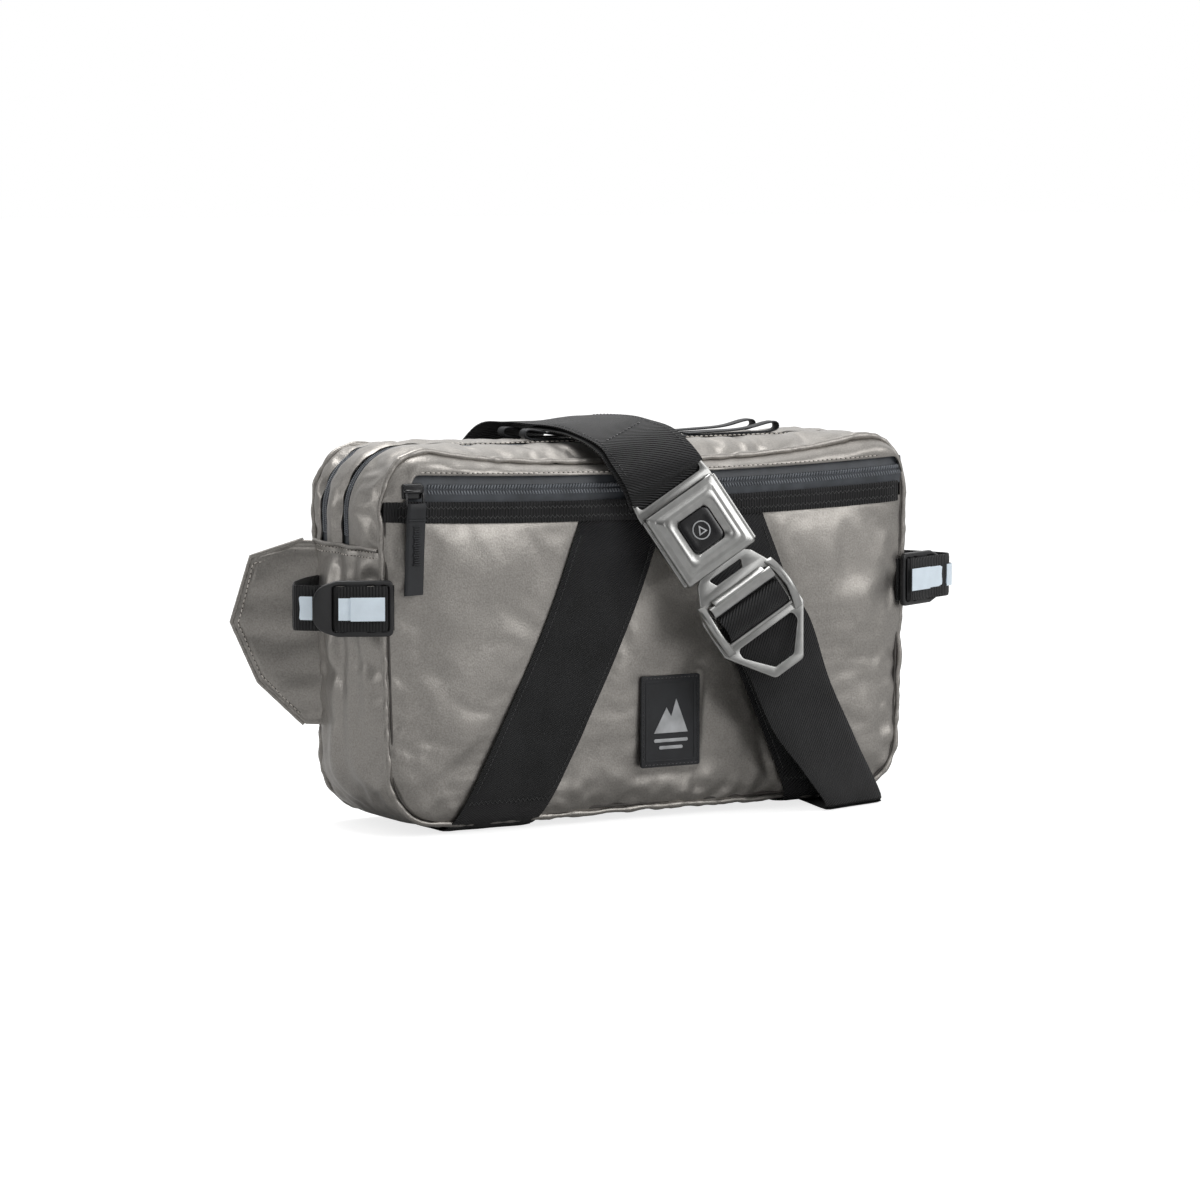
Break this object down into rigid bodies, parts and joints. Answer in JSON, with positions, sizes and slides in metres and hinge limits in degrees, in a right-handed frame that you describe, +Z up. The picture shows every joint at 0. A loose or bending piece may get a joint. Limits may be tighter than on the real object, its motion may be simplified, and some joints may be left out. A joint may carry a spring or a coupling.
{
  "type": "sling bag",
  "caption": "Rounded box-shaped sling bag with top zips, a front zip pocket, side wings and a diagonal webbing strap with a seat-belt style buckle.",
  "frame": {"origin": "middle of the bounding box in plan, on the surface the bag stands on", "axes": "+X along the bag to its right seen from the front, -Y out of the front pocket, +Z up"},
  "size_m": [0.4348, 0.1708, 0.2362],
  "materials": {
    "taupe_fabric": "coated fabric with a metallic sheen",
    "lining_fabric": "plain woven lining",
    "padding_foam": "closed-cell foam sheet",
    "black_webbing": "tight woven webbing",
    "zip_tape": "matte coated zip tape",
    "brushed_metal": "brushed nickel plate with bright edges",
    "gloss_black": "gloss black",
    "black_rubber": "matte moulded rubber",
    "reflective_tape": "pale retroreflective film"
  },
  "bodies": {
    "bag": {"back_foam": "padding_foam", "back_panel": "taupe_fabric", "bottom_gusset": "taupe_fabric", "buckle_base": "brushed_metal", "buckle_cover": "brushed_metal", "button_spring": "brushed_metal", "compartment_divider": "lining_fabric", "compression_webbing_left": "black_webbing", "compression_webbing_right": "black_webbing", "diagonal_webbing_left": "black_webbing", "diagonal_webbing_right": "black_webbing", "front_gusset": "taupe_fabric", "front_panel": "taupe_fabric", "front_piping": "taupe_fabric", "front_top_strip": "taupe_fabric", "front_zip_chain": "zip_tape", "lock_anchor_left": "black_webbing", "lock_anchor_right": "black_webbing", "middle_gusset": "taupe_fabric", "patch_emblem": "reflective_tape", "pocket_backing": "lining_fabric", "pocket_band": "black_webbing", "pocket_zip_coil": "zip_tape", "pocket_zip_tape": "zip_tape", "rear_gusset": "taupe_fabric", "rear_piping": "taupe_fabric", "rear_zip_chain": "zip_tape", "rubber_patch": "black_rubber", "side_panel_left": "taupe_fabric", "side_panel_right": "taupe_fabric", "strap_lower": "black_webbing", "strap_rear_left": "black_webbing", "strap_rear_right": "black_webbing", "strap_under": "black_webbing", "strap_upper": "black_webbing"},
    "pocket_slider": {"pocket_slider": "gloss_black", "pocket_bail": "gloss_black"},
    "pocket_pull": {"pocket_pull": "black_rubber"},
    "buckle_button": {"buckle_button": "gloss_black"},
    "tongue": {"tongue_plate": "brushed_metal", "tongue_rail_left": "brushed_metal", "tongue_rail_right": "brushed_metal", "adjuster_webbing": "black_webbing"},
    "adjuster_bar": {"adjuster_bar": "brushed_metal"},
    "wing_left": {"wing_left": "taupe_fabric"},
    "ladder_lock_left": {"ladder_lock_left": "gloss_black", "reflective_strip_left": "reflective_tape"},
    "front_slider_left": {"front_slider_left": "gloss_black"},
    "front_pull_left": {"front_pull_left": "black_rubber"},
    "rear_slider_left": {"rear_slider_left": "gloss_black"},
    "rear_pull_left": {"rear_pull_left": "black_rubber"},
    "wing_right": {"wing_right": "taupe_fabric"},
    "ladder_lock_right": {"ladder_lock_right": "gloss_black", "reflective_strip_right": "reflective_tape"},
    "front_slider_right": {"front_slider_right": "gloss_black"},
    "front_pull_right": {"front_pull_right": "black_rubber"},
    "rear_slider_right": {"rear_slider_right": "gloss_black"},
    "rear_pull_right": {"rear_pull_right": "black_rubber"}
  },
  "joints": [
    {"name": "pocket_slider_slide", "type": "slide", "parent": "bag", "child": "pocket_slider", "axis": [1, 0, 0], "range_m": [0, 0.3]},
    {"name": "pocket_pull_hinge", "type": "hinge", "parent": "pocket_slider", "child": "pocket_pull", "pos_m": [-0.161, -0.0426, 0.1923], "axis": [-1, 0, 0], "range_deg": [0, 120]},
    {"name": "button_press", "type": "slide", "parent": "bag", "child": "buckle_button", "axis": [0.2106, 0.9661, -0.1495], "range_m": [0, 0.002], "stiffness_N_per_m": 1500, "springref_m": -0.001, "deforming": ["button_spring"]},
    {"name": "tongue_slide", "type": "slide", "parent": "bag", "child": "tongue", "axis": [0.4966, -0.2375, -0.8348], "range_m": [0, 0.03], "deforming": ["strap_lower"]},
    {"name": "adjuster_bar_slide", "type": "slide", "parent": "tongue", "child": "adjuster_bar", "axis": [-0.4966, 0.2375, 0.8348], "range_m": [0, 0.002]},
    {"name": "ladder_lock_left_hinge", "type": "hinge", "parent": "bag", "child": "ladder_lock_left", "pos_m": [-0.1744, -0.0368, 0.133], "axis": [0, 0, -1], "range_deg": [-20, 25], "deforming": ["compression_webbing_left"]},
    {"name": "wing_left_hinge", "type": "hinge", "parent": "bag", "child": "wing_left", "pos_m": [-0.1814, 0.0548, 0.112], "axis": [0, 0, -1], "range_deg": [-35, 50], "deforming": ["compression_webbing_left", "strap_rear_left"]},
    {"name": "front_slider_left_slide", "type": "slide", "parent": "bag", "child": "front_slider_left", "axis": [-1, 0, 0], "range_m": [0, 0.12]},
    {"name": "front_pull_left_hinge", "type": "hinge", "parent": "front_slider_left", "child": "front_pull_left", "pos_m": [0.011, 0.0079, 0.2235], "axis": [0, 1, 0], "range_deg": [0, 6]},
    {"name": "rear_slider_left_slide", "type": "slide", "parent": "bag", "child": "rear_slider_left", "axis": [-1, 0, 0], "range_m": [0, 0.12]},
    {"name": "rear_pull_left_hinge", "type": "hinge", "parent": "rear_slider_left", "child": "rear_pull_left", "pos_m": [0.011, 0.0345, 0.2235], "axis": [0, 1, 0], "range_deg": [0, 4]},
    {"name": "ladder_lock_right_hinge", "type": "hinge", "parent": "bag", "child": "ladder_lock_right", "pos_m": [0.1744, -0.0368, 0.133], "axis": [0, 0, 1], "range_deg": [-20, 25], "deforming": ["compression_webbing_right"]},
    {"name": "wing_right_hinge", "type": "hinge", "parent": "bag", "child": "wing_right", "pos_m": [0.1814, 0.0548, 0.112], "axis": [0, 0, 1], "range_deg": [-35, 50], "deforming": ["compression_webbing_right", "strap_rear_right"]},
    {"name": "front_slider_right_slide", "type": "slide", "parent": "bag", "child": "front_slider_right", "axis": [1, 0, 0], "range_m": [0, 0.1]},
    {"name": "front_pull_right_hinge", "type": "hinge", "parent": "front_slider_right", "child": "front_pull_right", "pos_m": [0.034, 0.0079, 0.2235], "axis": [0, -1, 0], "range_deg": [0, 90]},
    {"name": "rear_slider_right_slide", "type": "slide", "parent": "bag", "child": "rear_slider_right", "axis": [1, 0, 0], "range_m": [0, 0.1]},
    {"name": "rear_pull_right_hinge", "type": "hinge", "parent": "rear_slider_right", "child": "rear_pull_right", "pos_m": [0.034, 0.0345, 0.2235], "axis": [0, -1, 0], "range_deg": [0, 90]}
  ]
}
